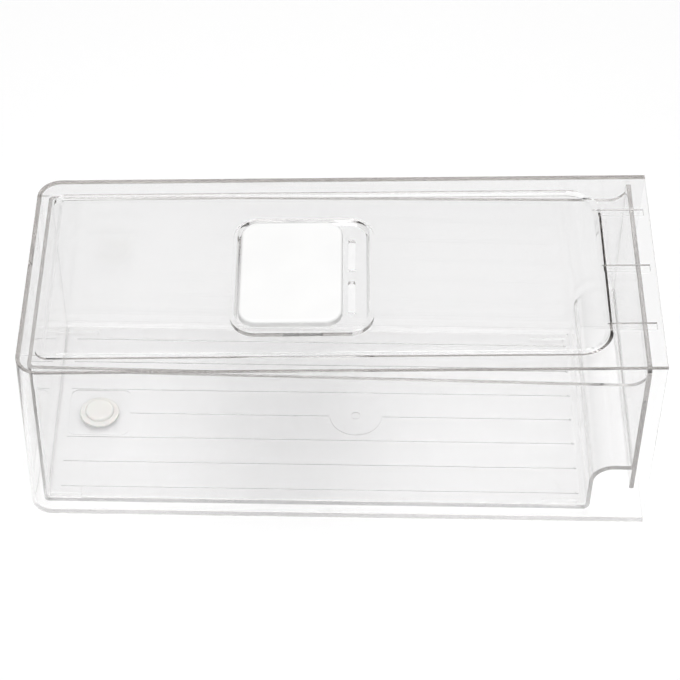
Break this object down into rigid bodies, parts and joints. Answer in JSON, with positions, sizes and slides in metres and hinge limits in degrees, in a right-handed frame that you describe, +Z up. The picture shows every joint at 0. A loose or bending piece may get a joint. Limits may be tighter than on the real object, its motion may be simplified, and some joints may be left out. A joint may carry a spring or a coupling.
{
  "type": "fridge drawer organizer",
  "caption": "Clear stackable fridge drawer: open-fronted case with recessed lid and sliding vent cover, and a pull-out drawer with floor ribs, finger recess and drain plug.",
  "frame": {"origin": "middle of the case's flat underside", "axes": "+X out of the case's mouth, the way the drawer pulls out; +Z up; +Y across the case"},
  "size_m": [0.32, 0.14, 0.1181],
  "materials": {
    "clear_case": "clear, polished",
    "clear_drawer": "clear, polished",
    "white_cover": "satin gloss",
    "white_plug": "soft matt"
  },
  "bodies": {
    "case": {"outer_case": "clear_case"},
    "drawer": {"drawer": "clear_drawer"},
    "vent_cover": {"vent_cover": "white_cover"},
    "drain_plug": {"drain_plug": "white_plug"}
  },
  "joints": [
    {"name": "drawer_slide", "type": "slide", "parent": "case", "child": "drawer", "axis": [1, 0, 0], "range_m": [-0.003, 0.25]},
    {"name": "vent_slide", "type": "slide", "parent": "case", "child": "vent_cover", "axis": [0.9994, 0, 0.034], "range_m": [0, 0.011]},
    {"name": "plug_pull", "type": "slide", "parent": "drawer", "child": "drain_plug", "axis": [0, 0, 1], "range_m": [0, 0.012]}
  ]
}
